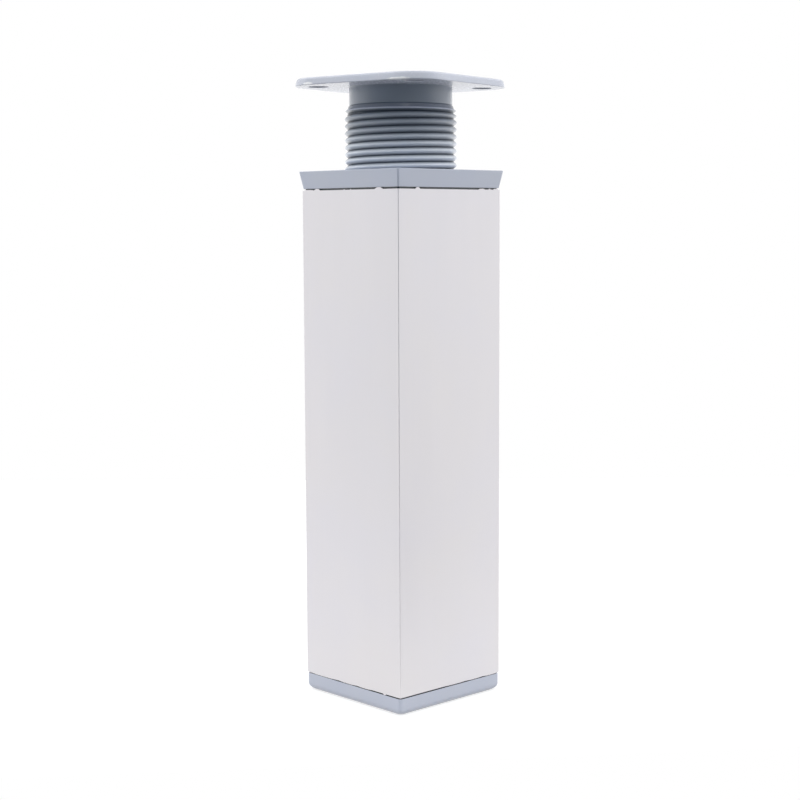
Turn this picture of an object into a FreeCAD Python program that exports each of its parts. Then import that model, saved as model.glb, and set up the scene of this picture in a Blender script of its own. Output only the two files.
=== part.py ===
import FreeCAD, Part
import os
import Sketcher

# Adjustable cabinet leg: a square tube with a moulded foot cap below and a moulded collar above.
# The collar's thread carries a stem that is moulded in one piece with the plate screwed to the cabinet.
# The origin lies in the middle of the foot's underside, with +Z up and the tube's faces square to X and Y.

os.makedirs("parts", exist_ok=True)
document = FreeCAD.newDocument("adjustable_cabinet_leg")
sheet = document.addObject("Spreadsheet::Sheet", "sizes")
next_row = 1


class Size:
    """A length that carries its number and the sheet formula it comes from."""

    def __init__(self, number, formula):
        self.number = float(number)
        self.formula = formula

    def __add__(self, other):
        other = as_size(other)
        return Size(self.number + other.number, "(" + self.formula + " + " + other.formula + ")")

    def __sub__(self, other):
        other = as_size(other)
        return Size(self.number - other.number, "(" + self.formula + " - " + other.formula + ")")

    def __mul__(self, other):
        other = as_size(other)
        return Size(self.number * other.number, "(" + self.formula + " * " + other.formula + ")")

    def __truediv__(self, other):
        other = as_size(other)
        return Size(self.number / other.number, "(" + self.formula + " / " + other.formula + ")")


def as_size(value):
    return value if isinstance(value, Size) else Size(value, repr(value))


def dimension(alias, value, note):
    """Write one driving dimension into the sheet and give it back."""
    global next_row
    cell = "B" + str(next_row)
    sheet.set("A" + str(next_row), note)
    sheet.set(cell, str(value))
    sheet.setAlias(cell, alias)
    next_row += 1
    return Size(value, "sizes." + alias)


# Square tube
leg_side = dimension("leg_side", 40, "outside of the square tube")
tube_wall = dimension("tube_wall", 1.2, "wall of the tube")
tube_corner = dimension("tube_corner", 0.4, "rounding of the tube's long edges")
tube_length = dimension("tube_length", 141, "cut length of the tube")

# Both plugs
plug_play = dimension("plug_play", 0.2, "play between a plug and the tube's inside, filled by the grip ribs")
seat_inset = dimension("seat_inset", 0.5, "set-back of the step that the tube's end stands on")
rib_width = dimension("rib_width", 1.6, "width of a grip rib")
rib_pitch = dimension("rib_pitch", 16, "distance between the two grip ribs of a face")

# Foot cap
foot_height = dimension("foot_height", 5.2, "height of the foot below the tube")
foot_step = dimension("foot_step", 0.35, "height of the foot's step")
foot_corner = dimension("foot_corner", 1.2, "rounding of the foot's upright edges")
foot_edge = dimension("foot_edge", 1, "bevel round the foot's underside")
foot_floor = dimension("foot_floor", 2.6, "thickness of the foot's floor")
foot_wall = dimension("foot_wall", 1.8, "wall of the foot's plug")
foot_plug = dimension("foot_plug", 11, "length of the foot's plug inside the tube")
web_thickness = dimension("web_thickness", 1.6, "thickness of the foot's crossed webs")
web_drop = dimension("web_drop", 2.5, "distance from the plug's rim down to the webs")

# Collar
collar_height = dimension("collar_height", 5.5, "height of the collar above the tube")
collar_step = dimension("collar_step", 0.5, "height of the collar's step")
collar_inset = dimension("collar_inset", 0.1, "set-back of the collar's lower edge from the tube's face")
collar_flare = dimension("collar_flare", 0.8, "reach of the collar's top edge beyond the tube's face")
collar_plug = dimension("collar_plug", 14, "length of the collar's plug inside the tube")
relief_play = dimension("relief_play", 1.3, "play round the stem's crest in the relief below the thread")
cored_side = dimension("cored_side", 3.2, "side of the cored-out corners of the plug")
cored_inset = dimension("cored_inset", 3.8, "distance from the tube's inside to the middle of a cored corner")
cored_depth = dimension("cored_depth", 11, "depth of the cored corners")

# Thread, right-handed with one start
pitch = dimension("pitch", 2, "rise of the thread in one turn")
crest_play = dimension("crest_play", 2.8, "distance from the stem's crest to the tube's inside")
groove_depth = dimension("groove_depth", 0.95, "depth of the stem's groove")
groove_half = dimension("groove_half", 0.75, "half the width of the stem's groove at the crest")
groove_end = dimension("groove_end", 34, "angle at which the stem's groove ends in the run-out, in degrees")
root_play = dimension("root_play", 0.4, "play between the collar's thread and the root of the stem's groove")
flank_play = dimension("flank_play", 0.13, "play along the axis between the two threads")
nut_length = dimension("nut_length", 4.4, "length of the collar's thread")
nut_turns = dimension("nut_turns", 7, "turns of the collar's groove, past both ends of its thread")
nut_below = dimension("nut_below", 13, "whole turns from the run-out down to where the collar's groove starts")

# Plate and stem
plate_gap = dimension("plate_gap", 23.5, "distance from the collar's top to the plate as the leg is set")
plate_overhang = dimension("plate_overhang", 4.15, "reach of the plate's side beyond the tube's face")
plate_corner = dimension("plate_corner", 10, "rounding of the plate's corners")
plate_edge = dimension("plate_edge", 1, "bevel of the plate's upper edge")
plate_thickness = dimension("plate_thickness", 2.2, "thickness of the plate")
plate_turn = dimension("plate_turn", 10.5, "turn of the plate against the tube, in degrees")
screw_hole_radius = dimension("screw_hole_radius", 2.9, "radius of the four screw holes")
screw_inset = dimension("screw_inset", 0.65, "how much smaller the screw circle is than a circle inside the plate")
neck_inset = dimension("neck_inset", 1.3, "set-back of the plain neck from the crest")
neck_length = dimension("neck_length", 4.2, "length of the plain neck")
cone_length = dimension("cone_length", 1.4, "height of the cone below the neck")
shoulder_inset = dimension("shoulder_inset", 0.2, "set-back of the plain ring above the thread from the crest")
shoulder_length = dimension("shoulder_length", 0.6, "height of the plain ring")
runout_half = dimension("runout_half", 0.82, "half the width of the ring-shaped run-out above the thread")
runout_depth = dimension("runout_depth", 1.02, "depth of the run-out")
stem_wall = dimension("stem_wall", 3.55, "wall between the stem's core and the root of the groove")
stem_floor = dimension("stem_floor", 2.5, "thickness of the floor below the core")

# Stop ring at the stem's lower end
up_travel = dimension("up_travel", 1, "distance from the collar's thread down to the end of the stem's thread")
tip_inset = dimension("tip_inset", 1, "set-back of the stem's tip from the crest")
tip_height = dimension("tip_height", 1.3, "height of the stem's tip below the stop ring")
ring_seat_depth = dimension("ring_seat_depth", 1.1, "depth of the stop ring's seat in the tip")
ring_play = dimension("ring_play", 0.1, "play between the stop ring and each side of its seat")
ring_thickness = dimension("ring_thickness", 1.5, "thickness of the stop ring")
ring_reach = dimension("ring_reach", 1, "reach of the stop ring beyond the crest")
ring_split = dimension("ring_split", 4, "width of the gap in the stop ring")

# Heights that the pieces share
seat_low = foot_height
seat_high = foot_height + tube_length
collar_top = seat_high + collar_height
plate_bottom = collar_top + plate_gap
plate_top = plate_bottom + plate_thickness
neck_bottom = plate_bottom - neck_length
cone_bottom = neck_bottom - cone_length
runout_top = cone_bottom - shoulder_length
runout_middle = runout_top - runout_half
thread_top = runout_middle - runout_half
nut_bottom = collar_top - nut_length
thread_bottom = nut_bottom - up_travel
ring_bottom = thread_bottom - ring_play - ring_thickness
tip_top = ring_bottom - ring_play
stem_bottom = tip_top - tip_height

# Widths that the pieces share
tube_inside = leg_side - tube_wall * 2
plug_side = tube_inside - plug_play * 2
plate_side = leg_side + plate_overhang * 2
crest_radius = tube_inside / 2 - crest_play
root_radius = crest_radius - groove_depth
nut_minor = root_radius + root_play
tip_radius = crest_radius - tip_inset
ring_seat_radius = tip_radius - ring_seat_depth
core_radius = root_radius - stem_wall


def new_body(label):
    body = document.addObject("PartDesign::Body", label)
    body.Label = label
    body.Placement = FreeCAD.Placement()
    return body


def origin_item(body, role):
    """Find a plane or axis of the body's own origin."""
    return [item for item in body.Origin.OriginFeatures if item.Role == role][0]


def drive(item, prop, size):
    item.setExpression(prop, size.formula)


def new_sketch(body, name, role="XY_Plane", height=None, turn=None):
    """Start a sketch on an origin plane, raised and turned about Z where asked."""
    sketch = body.newObject("Sketcher::SketchObject", name)
    sketch.AttachmentSupport = [(origin_item(body, role), "")]
    sketch.MapMode = "FlatFace"
    upright = role != "XY_Plane"
    if turn is not None:
        axis = FreeCAD.Vector(0, 1, 0) if upright else FreeCAD.Vector(0, 0, 1)
        sketch.AttachmentOffset = FreeCAD.Placement(FreeCAD.Vector(), FreeCAD.Rotation(axis, turn.number))
        sketch.setExpression("AttachmentOffset.Rotation.Angle", turn.formula + " * 1 deg")
    if height is not None:
        drive(sketch, "AttachmentOffset.Base.z", height)
    return sketch


def bind(sketch, kind, references, size):
    """Add a dimension to the sketch and tie it to its size."""
    index = sketch.addConstraint(Sketcher.Constraint(kind, *references, size.number))
    drive(sketch, "Constraints[" + str(index) + "]", size)


def add_outline(sketch, corners):
    """Closed outline through corners, each placed by its own two distances from the origin."""
    count = len(corners)
    points = [FreeCAD.Vector(along.number, up.number, 0) for along, up in corners]
    first = len(sketch.Geometry)
    for index in range(count):
        sketch.addGeometry(Part.LineSegment(points[index], points[(index + 1) % count]))
    for index in range(count):
        following = first + (index + 1) % count
        sketch.addConstraint(Sketcher.Constraint("Coincident", first + index, 2, following, 1))
    for index, (along, up) in enumerate(corners):
        bind(sketch, "DistanceX", (-1, 1, first + index, 1), along)
        bind(sketch, "DistanceY", (-1, 1, first + index, 1), up)


def add_rectangle(sketch, width, depth):
    """Rectangle centred on the origin."""
    right = width.number / 2
    back = depth.number / 2
    corners = [(-right, -back), (right, -back), (right, back), (-right, back)]
    points = [FreeCAD.Vector(x, y, 0) for x, y in corners]
    first = len(sketch.Geometry)
    for index in range(4):
        sketch.addGeometry(Part.LineSegment(points[index], points[(index + 1) % 4]))
    for index in range(4):
        following = first + (index + 1) % 4
        sketch.addConstraint(Sketcher.Constraint("Coincident", first + index, 2, following, 1))
    for index, kind in enumerate(["Horizontal", "Vertical", "Horizontal", "Vertical"]):
        sketch.addConstraint(Sketcher.Constraint(kind, first + index))
    sketch.addConstraint(Sketcher.Constraint("Symmetric", first, 1, first + 2, 1, -1, 1))
    bind(sketch, "DistanceX", (first, 1, first, 2), width)
    bind(sketch, "DistanceY", (first + 1, 1, first + 1, 2), depth)


def add_circle(sketch, radius, along=None, up=None):
    """Circle on the origin, or at two distances from it."""
    centre = FreeCAD.Vector(along.number, up.number, 0) if along else FreeCAD.Vector()
    index = sketch.addGeometry(Part.Circle(centre, FreeCAD.Vector(0, 0, 1), radius.number))
    bind(sketch, "Radius", (index,), radius)
    if along:
        bind(sketch, "DistanceX", (-1, 1, index, 3), along)
        bind(sketch, "DistanceY", (-1, 1, index, 3), up)
    else:
        sketch.addConstraint(Sketcher.Constraint("Coincident", index, 3, -1, 1))


def extrude(body, kind, name, sketch, length, downward=False):
    """Pad or pocket a sketch; a pad rises and a pocket sinks unless told otherwise."""
    feature = body.newObject("PartDesign::" + kind, name)
    feature.Profile = sketch
    feature.Reversed = downward
    drive(feature, "Length", length)
    document.recompute()
    return feature


def pad(body, name, sketch, length, downward=False):
    return extrude(body, "Pad", name, sketch, length, downward)


def pocket(body, name, sketch, length, upward=False):
    """Cut a sketch down through the solid, or up through it."""
    before = body.Shape.Volume
    feature = extrude(body, "Pocket", name, sketch, length, upward)
    if not body.Shape.Volume < before - 1e-6:
        raise RuntimeError(name + " cuts nothing")
    return feature


def turn_profile(body, kind, name, sketch):
    """Turn a profile once round Z, to add or to cut."""
    feature = body.newObject("PartDesign::" + kind, name)
    feature.Profile = sketch
    feature.ReferenceAxis = (origin_item(body, "Z_Axis"), [""])
    feature.Angle = 360
    document.recompute()
    return feature


def around_z(body, name, features, count=4):
    """Repeat features round Z."""
    pattern = body.newObject("PartDesign::PolarPattern", name)
    pattern.Originals = features
    pattern.Axis = (origin_item(body, "Z_Axis"), [""])
    pattern.Angle = 360
    pattern.Occurrences = count
    body.Tip = pattern
    document.recompute()
    return pattern


def edges_where(body, test):
    """Names of the edges of the body's solid that pass a test."""
    return ["Edge" + str(number) for number, edge in enumerate(body.Shape.Edges, 1) if test(edge)]


def dress(body, kind, name, prop, edges, size):
    """Fillet or chamfer the named edges of the body's last feature."""
    last = body.Tip
    feature = body.newObject("PartDesign::" + kind, name)
    feature.Base = (last, edges)
    drive(feature, prop, size)
    document.recompute()
    return feature


def is_upright(edge):
    """A straight edge along Z."""
    box = edge.BoundBox
    return box.XLength < 1e-4 and box.YLength < 1e-4


def lies_at(edge, height):
    """An edge that lies flat at a height."""
    box = edge.BoundBox
    return box.ZLength < 1e-4 and abs(box.Center.z - height.number) < 1e-3


def cut_thread(body, name, corners, turns, turn=None):
    """Cut a right-hand groove of the given section round Z, rising from where the section stands."""
    section = new_sketch(body, name + "_section", "XZ_Plane", turn=turn)
    add_outline(section, corners)
    before = body.Shape.Volume
    helix = body.newObject("PartDesign::SubtractiveHelix", name)
    helix.Profile = section
    helix.ReferenceAxis = (origin_item(body, "Z_Axis"), [""])
    helix.Mode = "pitch-turns-angle"
    helix.LeftHanded = False
    helix.Reversed = False
    drive(helix, "Pitch", pitch)
    drive(helix, "Turns", turns)
    document.recompute()
    if not body.Shape.Volume < before - 1e-6:
        raise RuntimeError(name + " cuts nothing")
    return helix


def add_grip_ribs(body, seat, length, downward):
    """Two low upright ribs on each face of a plug, touching the tube's inside."""
    sketch = new_sketch(body, "rib_section", height=seat)
    inner = (plug_side / 2 - rib_width / 2)
    outer = tube_inside / 2
    for place in (rib_pitch / 2, rib_pitch / -2):
        low = place - rib_width / 2
        high = place + rib_width / 2
        add_outline(sketch, [(inner, low), (outer, low), (outer, high), (inner, high)])
    ribs = pad(body, "grip_ribs", sketch, length, downward)
    around_z(body, "grip_ribs_round", [ribs])


def make_tube():
    """Drawn square tube, open at both ends."""
    body = new_body("tube")
    outside = new_sketch(body, "outside", height=seat_low)
    add_rectangle(outside, leg_side, leg_side)
    pad(body, "bar", outside, tube_length)
    edges = edges_where(body, is_upright)
    dress(body, "Fillet", "long_edges", "Radius", edges, tube_corner)
    inside = new_sketch(body, "inside", height=seat_high)
    add_rectangle(inside, tube_inside, tube_inside)
    pocket(body, "hollow", inside, tube_length)
    return body


def make_foot_cap():
    """Moulded cap that closes the tube's lower end: block, step, hollow plug, webs and ribs."""
    body = new_body("foot_cap")
    base = new_sketch(body, "base")
    add_rectangle(base, leg_side, leg_side)
    pad(body, "block", base, foot_height - foot_step)
    edges = edges_where(body, is_upright)
    dress(body, "Fillet", "upright_edges", "Radius", edges, foot_corner)
    edges = edges_where(body, lambda edge: abs(edge.BoundBox.ZMax) < 1e-3)
    dress(body, "Chamfer", "underside_edge", "Size", edges, foot_edge)

    step = new_sketch(body, "step", height=foot_height - foot_step)
    step_side = leg_side - seat_inset * 2
    add_rectangle(step, step_side, step_side)
    pad(body, "step_block", step, foot_step)
    plug = new_sketch(body, "plug", height=seat_low)
    add_rectangle(plug, plug_side, plug_side)
    pad(body, "plug_block", plug, foot_plug)

    rim = seat_low + foot_plug
    cavity = new_sketch(body, "cavity", height=rim)
    cavity_side = plug_side - foot_wall * 2
    add_rectangle(cavity, cavity_side, cavity_side)
    pocket(body, "hollow", cavity, rim - foot_floor)
    webs = new_sketch(body, "webs", height=foot_floor)
    add_rectangle(webs, cavity_side, web_thickness)
    pad(body, "web", webs, rim - foot_floor - web_drop)
    cross = new_sketch(body, "cross", height=foot_floor)
    add_rectangle(cross, web_thickness, cavity_side)
    pad(body, "cross_web", cross, rim - foot_floor - web_drop)
    add_grip_ribs(body, seat_low, foot_plug - plug_play, False)
    return body


def make_collar():
    """Moulded collar: flared flange, step and plug round a threaded bore."""
    body = new_body("collar")
    low_height = seat_high + collar_step
    low = new_sketch(body, "flange_low", height=low_height)
    low_side = leg_side - collar_inset * 2
    add_rectangle(low, low_side, low_side)
    top = new_sketch(body, "flange_top", height=collar_top)
    top_side = leg_side + collar_flare * 2
    add_rectangle(top, top_side, top_side)
    flange = body.newObject("PartDesign::AdditiveLoft", "flange")
    flange.Profile = low
    flange.Sections = [top]
    flange.Ruled = True
    document.recompute()

    step = new_sketch(body, "step", height=seat_high)
    step_side = leg_side - seat_inset * 2
    add_rectangle(step, step_side, step_side)
    pad(body, "step_block", step, collar_step)
    plug = new_sketch(body, "plug", height=seat_high)
    add_rectangle(plug, plug_side, plug_side)
    pad(body, "plug_block", plug, collar_plug, downward=True)

    plug_bottom = seat_high - collar_plug
    bore = new_sketch(body, "bore", height=collar_top)
    add_circle(bore, nut_minor)
    pocket(body, "thread_bore", bore, collar_height + collar_plug)
    relief = new_sketch(body, "relief", height=plug_bottom)
    add_circle(relief, crest_radius + relief_play)
    pocket(body, "thread_relief", relief, nut_bottom - plug_bottom, upward=True)
    corner = new_sketch(body, "cored_corner", height=plug_bottom)
    near = tube_inside / 2 - cored_inset - cored_side / 2
    far = near + cored_side
    add_outline(corner, [(near, near), (far, near), (far, far), (near, far)])
    cored = pocket(body, "cored_pocket", corner, cored_depth, upward=True)
    around_z(body, "cored_pockets", [cored])
    add_grip_ribs(body, seat_high, collar_plug - plug_play, True)

    # The collar's groove holds the stem's ridge, which lies half a turn's rise above the stem's groove.
    middle = runout_middle - pitch * (groove_end / 360 + nut_below) + pitch / 2
    slope = groove_half / (crest_radius - root_radius)
    half_ridge = pitch / 2 + flank_play - slope * (nut_minor - root_radius)
    corners = [
        (nut_minor - flank_play, middle - half_ridge - slope * flank_play),
        (nut_minor + half_ridge / slope, middle),
        (nut_minor - flank_play, middle + half_ridge + slope * flank_play),
    ]
    cut_thread(body, "collar_thread", corners, nut_turns)
    return body


def make_plate_stem():
    """Plate, neck and hollow threaded stem, moulded in one piece."""
    body = new_body("plate_stem")
    outline = new_sketch(body, "plate_outline", height=plate_bottom, turn=plate_turn)
    add_rectangle(outline, plate_side, plate_side)
    pad(body, "plate", outline, plate_thickness)
    edges = edges_where(body, is_upright)
    dress(body, "Fillet", "plate_corners", "Radius", edges, plate_corner)
    edges = edges_where(body, lambda edge: lies_at(edge, plate_top))
    dress(body, "Chamfer", "upper_edge", "Size", edges, plate_edge)
    hole = new_sketch(body, "screw_hole_outline", height=plate_top, turn=plate_turn)
    place = (plate_side / 2 - screw_inset) * 0.5 ** 0.5
    add_circle(hole, screw_hole_radius, place, place)
    screw_hole = pocket(body, "screw_hole", hole, plate_thickness)
    around_z(body, "screw_holes", [screw_hole])

    side = new_sketch(body, "stem_side", "XZ_Plane")
    axis = as_size(0)
    shoulder_radius = crest_radius - shoulder_inset
    neck_radius = crest_radius - neck_inset
    add_outline(side, [
        (axis, stem_bottom),
        (tip_radius, stem_bottom),
        (tip_radius, tip_top),
        (ring_seat_radius, tip_top),
        (ring_seat_radius, thread_bottom),
        (crest_radius, thread_bottom),
        (crest_radius, thread_top),
        (crest_radius - runout_depth, runout_middle),
        (shoulder_radius, runout_top),
        (shoulder_radius, cone_bottom),
        (neck_radius, neck_bottom),
        (neck_radius, plate_bottom + plate_thickness / 2),
        (axis, plate_bottom + plate_thickness / 2),
    ])
    turn_profile(body, "Revolution", "stem", side)
    core = new_sketch(body, "core_outline", height=plate_top)
    add_circle(core, core_radius)
    pocket(body, "core", core, plate_top - stem_bottom - stem_floor)

    # The section stands at the groove's lower end, below the thread, and the groove ends in the run-out.
    turns = (runout_middle - ring_bottom - ring_thickness / 2) / pitch
    middle = runout_middle - pitch * turns
    outer_radius = crest_radius + flank_play
    outer_half = groove_half * (outer_radius - root_radius) / (crest_radius - root_radius)
    corners = [
        (root_radius, middle),
        (outer_radius, middle - outer_half),
        (outer_radius, middle + outer_half),
    ]
    cut_thread(body, "stem_thread", corners, turns, turn=groove_end - turns * 360)
    return body


def make_stop_ring():
    """Split ring that snaps into the stem's seat and stops it from being screwed right out."""
    body = new_body("stop_ring")
    inner = ring_seat_radius + ring_play
    outer = crest_radius + ring_reach
    section = new_sketch(body, "ring_outline", height=ring_bottom)
    add_circle(section, outer)
    add_circle(section, inner)
    pad(body, "ring", section, ring_thickness)
    gap = new_sketch(body, "split_outline", height=ring_bottom + ring_thickness)
    half = ring_split / 2
    near = inner / 2
    far = outer + ring_reach
    add_outline(gap, [(near, half * -1), (far, half * -1), (far, half), (near, half)])
    pocket(body, "split", gap, ring_thickness)
    return body


def check_objects():
    """Stop if any object of the document has failed."""
    for item in document.Objects:
        if "Invalid" in item.State or "Error" in item.State:
            raise RuntimeError(item.Name + " failed: " + ", ".join(item.State))


def write_pieces(bodies):
    """Check each piece and write it under its own name."""
    for body in bodies:
        shape = body.Shape
        if shape.isNull() or not shape.isValid() or len(shape.Solids) != 1:
            raise RuntimeError(body.Label + " is not one valid solid")
        shape.exportStep(os.path.join("parts", body.Label + ".step"))
        print(body.Label, "volume", round(shape.Volume, 1), "mm3")


pieces = [make_tube(), make_foot_cap(), make_collar(), make_plate_stem(), make_stop_ring()]
document.recompute()
check_objects()
write_pieces(pieces)
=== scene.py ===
"""Adjustable cabinet leg: square metal tube, moulded foot and collar, and a plate on a threaded stem."""

import math

import bmesh
import bpy
from mathutils import Matrix, Vector


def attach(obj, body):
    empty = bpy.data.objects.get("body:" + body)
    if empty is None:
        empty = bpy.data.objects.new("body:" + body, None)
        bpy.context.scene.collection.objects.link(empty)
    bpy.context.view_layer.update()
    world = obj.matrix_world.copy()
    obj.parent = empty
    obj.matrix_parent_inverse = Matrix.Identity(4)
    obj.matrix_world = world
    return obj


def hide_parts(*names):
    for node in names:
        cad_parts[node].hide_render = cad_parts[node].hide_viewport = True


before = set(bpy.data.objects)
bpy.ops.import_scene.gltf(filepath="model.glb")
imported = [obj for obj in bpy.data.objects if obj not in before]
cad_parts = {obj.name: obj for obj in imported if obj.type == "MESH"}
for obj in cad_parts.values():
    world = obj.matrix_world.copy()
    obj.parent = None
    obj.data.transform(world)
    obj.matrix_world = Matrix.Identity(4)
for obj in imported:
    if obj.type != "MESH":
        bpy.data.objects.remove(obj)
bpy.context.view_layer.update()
MM = 0.001

# Sizes in millimetres, as the solid pieces have them.
PITCH = 2.0
CREST_RADIUS = 16.0
ROOT_RADIUS = 15.05
GROOVE_HALF = 0.75
THREAD_SLOPE = (CREST_RADIUS - ROOT_RADIUS) / GROOVE_HALF
PLATE_TOP = 177.4
PLATE_THICKNESS = 2.2
PLATE_BOTTOM = PLATE_TOP - PLATE_THICKNESS
PLATE_SIDE = 48.3
PLATE_CORNER = 10.0
PLATE_TURN = 10.5
SCREW_HOLE_RADIUS = 2.9
SCREW_CIRCLE = 23.5
NECK_RADIUS = 14.7
SHOULDER_RADIUS = 15.8
RUNOUT_DEPTH = 1.02
SOLID_RUNOUT_MIDDLE = 168.18
GROOVE_END_ANGLE = 34
COLLAR_TOP = 151.7
NUT_BOTTOM = COLLAR_TOP - 4.4
NUT_RADIUS = 15.45
FLANK_PLAY = 0.13
THREAD_BOTTOM = NUT_BOTTOM - 1.0
RING_SEAT_RADIUS = 13.9
TIP_TOP = THREAD_BOTTOM - 1.7
STEM_BOTTOM = TIP_TOP - 1.3
TIP_RADIUS = 15.0
CORE_RADIUS = 11.5
CORE_FLOOR = STEM_BOTTOM + 2.5
RELIEF_RADIUS = 17.3
TUBE_HALF = 20.0
TUBE_INSIDE = 18.8
TUBE_BOTTOM = 5.2
TUBE_TOP = 146.2
STEP_HALF = TUBE_HALF - 0.5
PLUG_HALF = 18.6
PLUG_CORNER = 0.6
COLLAR_STEP = 0.5
COLLAR_LOW_HALF = 19.9
COLLAR_TOP_HALF = 20.8
COLLAR_PLUG_BOTTOM = TUBE_TOP - 14
FOOT_STEP = 0.35
FOOT_RIM = TUBE_BOTTOM + 11
FOOT_FLOOR = 2.6
FOOT_WALL = 1.8
WEB_HALF = 0.8
WEB_TOP = FOOT_RIM - 2.5
# Height of the groove's middle at angle 0 and every whole turn from there.
GROOVE_PHASE = SOLID_RUNOUT_MIDDLE - PITCH * GROOVE_END_ANGLE / 360

# Sizes in millimetres that follow the photograph more closely than the solid pieces do.
NECK_BOTTOM = 170.2
RUNOUT_MIDDLE = 167.8
RUNOUT_HALF = 0.7
RUNOUT_TOP = RUNOUT_MIDDLE + RUNOUT_HALF
RIDGE_FULLNESS = 1.45
TUBE_EDGE = 0.16
FOOT_HALF = TUBE_HALF + 0.05
FOOT_CORNER = 1.0
FOOT_ROUNDING = 1.9

# Heights on the stem where one colour gives way to the next, among them the painted shade of the crease and
# of the cone under the neck, and between which the thread turns darker with painted shade from the plate
# above.
THREAD_FINISH_TOP = RUNOUT_TOP - 0.1
SHOULDER_TOP = RUNOUT_TOP + 0.42
CREASE_BOTTOM = NECK_BOTTOM - 0.33
DARKER_FROM = 156.5
DARKER_TO = 164.5
# Radius below which the thread's groove gets painted shade.
SHADE_RADIUS = ROOT_RADIUS + 0.85

# How finely the meshes are divided: round the stem, round corners and holes, and along straight sides.
THREAD_STEPS = 168
EASING_STEPS = 4
CORNER_STEPS = 12
PLATE_CORNER_STEPS = 20
SIDE_PARTS = 8
FOOT_EDGE_STEPS = 9
SCREW_HOLE_STEPS = 48
CORE_MOUTH_STEPS = 96
# Points that lie closer than this are joined, in millimetres.
WELD_DISTANCE = 0.002

# The signs of X and Y in the four quarters, in turn.
QUARTERS = ((1, 1), (-1, 1), (-1, -1), (1, -1))


# Shared mesh work


def new_piece(name, work, materials, body, sharp_degrees=40):
    """Turn finished mesh work into a smooth-shaded piece that rides on a body."""
    mesh = bpy.data.meshes.new(name)
    work.to_mesh(mesh)
    work.free()
    for material in materials:
        mesh.materials.append(material)
    mesh.shade_smooth()
    mesh.set_sharp_from_angle(angle=math.radians(sharp_degrees))
    piece = bpy.data.objects.new(name, mesh)
    bpy.context.scene.collection.objects.link(piece)
    even = piece.modifiers.new("even_shading", "WEIGHTED_NORMAL")
    even.keep_sharp = True
    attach(piece, body)
    return piece


def quarter_round(start, end, bulge, steps):
    """Points of an eased corner from one point to another round the bulge point."""
    first, middle, last = Vector(start), Vector(bulge), Vector(end)
    return [tuple(first * (1 - k / steps) ** 2 + middle * 2 * (k / steps) * (1 - k / steps)
                  + last * (k / steps) ** 2) for k in range(steps + 1)]


def eased(profile):
    """Round the corners of a line of (radius, height, rounding) points and leave (radius, height)."""
    longest = 0.45
    points = [Vector(corner[:2]) for corner in profile]
    out = [profile[0][:2]]
    for corner, before, here, after in zip(profile[1:], points, points[1:], points[2:]):
        back, ahead = before - here, after - here
        reach = min(corner[2], back.length * longest, ahead.length * longest)
        if reach < 1e-4:
            out.append(tuple(here))
        else:
            out += quarter_round(here + back.normalized() * reach, here + ahead.normalized() * reach, here,
                                 EASING_STEPS)
    return out + [profile[-1][:2]]


def ring_points(radius, count, centre=(0.0, 0.0)):
    """Points evenly round a circle."""
    return [(centre[0] + radius * math.cos(math.tau * k / count),
             centre[1] + radius * math.sin(math.tau * k / count)) for k in range(count)]


def soft_square(half, corner, steps):
    """Square with rounded corners, as a loop of points; each straight side is split into equal parts."""
    flat = half - corner
    arcs = []
    for quarter, (sign_x, sign_y) in enumerate(QUARTERS):
        angles = [math.radians(90) * (quarter + step / steps) for step in range(steps + 1)]
        arcs.append([Vector((sign_x * flat + corner * math.cos(angle),
                             sign_y * flat + corner * math.sin(angle))) for angle in angles])
    points = []
    for arc, following in zip(arcs, arcs[1:] + arcs[:1]):
        points += arc + [arc[-1].lerp(following[0], part / SIDE_PARTS) for part in range(1, SIDE_PARTS)]
    return points


def add_ring(work, points, height):
    """Put a loop of points, in millimetres, into the mesh at one height."""
    return [work.verts.new((x * MM, y * MM, height * MM)) for x, y in points]


def skinned(work, rings):
    """Join rings of points one to the next; gives back the first and last."""
    for low, high in zip(rings, rings[1:]):
        for index in range(len(low)):
            following = (index + 1) % len(low)
            work.faces.new((low[index], low[following], high[following], high[index]))
    return rings[0], rings[-1]


def stacked(work, loops):
    """Skin over square loops of (half side, corner rounding, height); gives back both end rings."""
    return skinned(work, [add_ring(work, soft_square(half, corner, CORNER_STEPS), height)
                          for half, corner, height in loops])


def turned(work, profile):
    """Turn a line of (radius, height) points round Z; a point on the axis closes the end."""
    rings = [add_ring(work, ring_points(radius, THREAD_STEPS) if radius > 1e-6 else [(0, 0)], height)
             for radius, height in profile]
    for low, high in zip(rings, rings[1:]):
        for step in range(THREAD_STEPS):
            following = (step + 1) % THREAD_STEPS
            if len(low) == 1:
                work.faces.new((low[0], high[following], high[step]))
            elif len(high) == 1:
                work.faces.new((low[step], low[following], high[0]))
            else:
                work.faces.new((low[step], low[following], high[following], high[step]))


def welded(work):
    """Join points that meet, drop slivers and turn all faces outwards."""
    bmesh.ops.remove_doubles(work, verts=work.verts, dist=WELD_DISTANCE * MM)
    bmesh.ops.dissolve_degenerate(work, dist=WELD_DISTANCE / 2 * MM, edges=work.edges)
    bmesh.ops.recalc_face_normals(work, faces=work.faces)
    return work


def darken_seam(work, low, high):
    """Give the faces of a set-back step, between two heights, the piece's second finish: a painted shadow
    in the seam.
    """
    slack = 0.01
    for face in work.faces:
        height = face.calc_center_median().z / MM
        face.material_index = int(low - slack < height < high + slack)


def filled_between(work, outer, holes):
    """Flat face inside one ring of points, left open inside the others."""
    edges = []
    for ring in [outer] + holes:
        for index, vert in enumerate(ring):
            following = ring[(index + 1) % len(ring)]
            edges.append(work.edges.get((vert, following)) or work.edges.new((vert, following)))
    bmesh.ops.triangle_fill(work, use_beauty=True, edges=edges)


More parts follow.
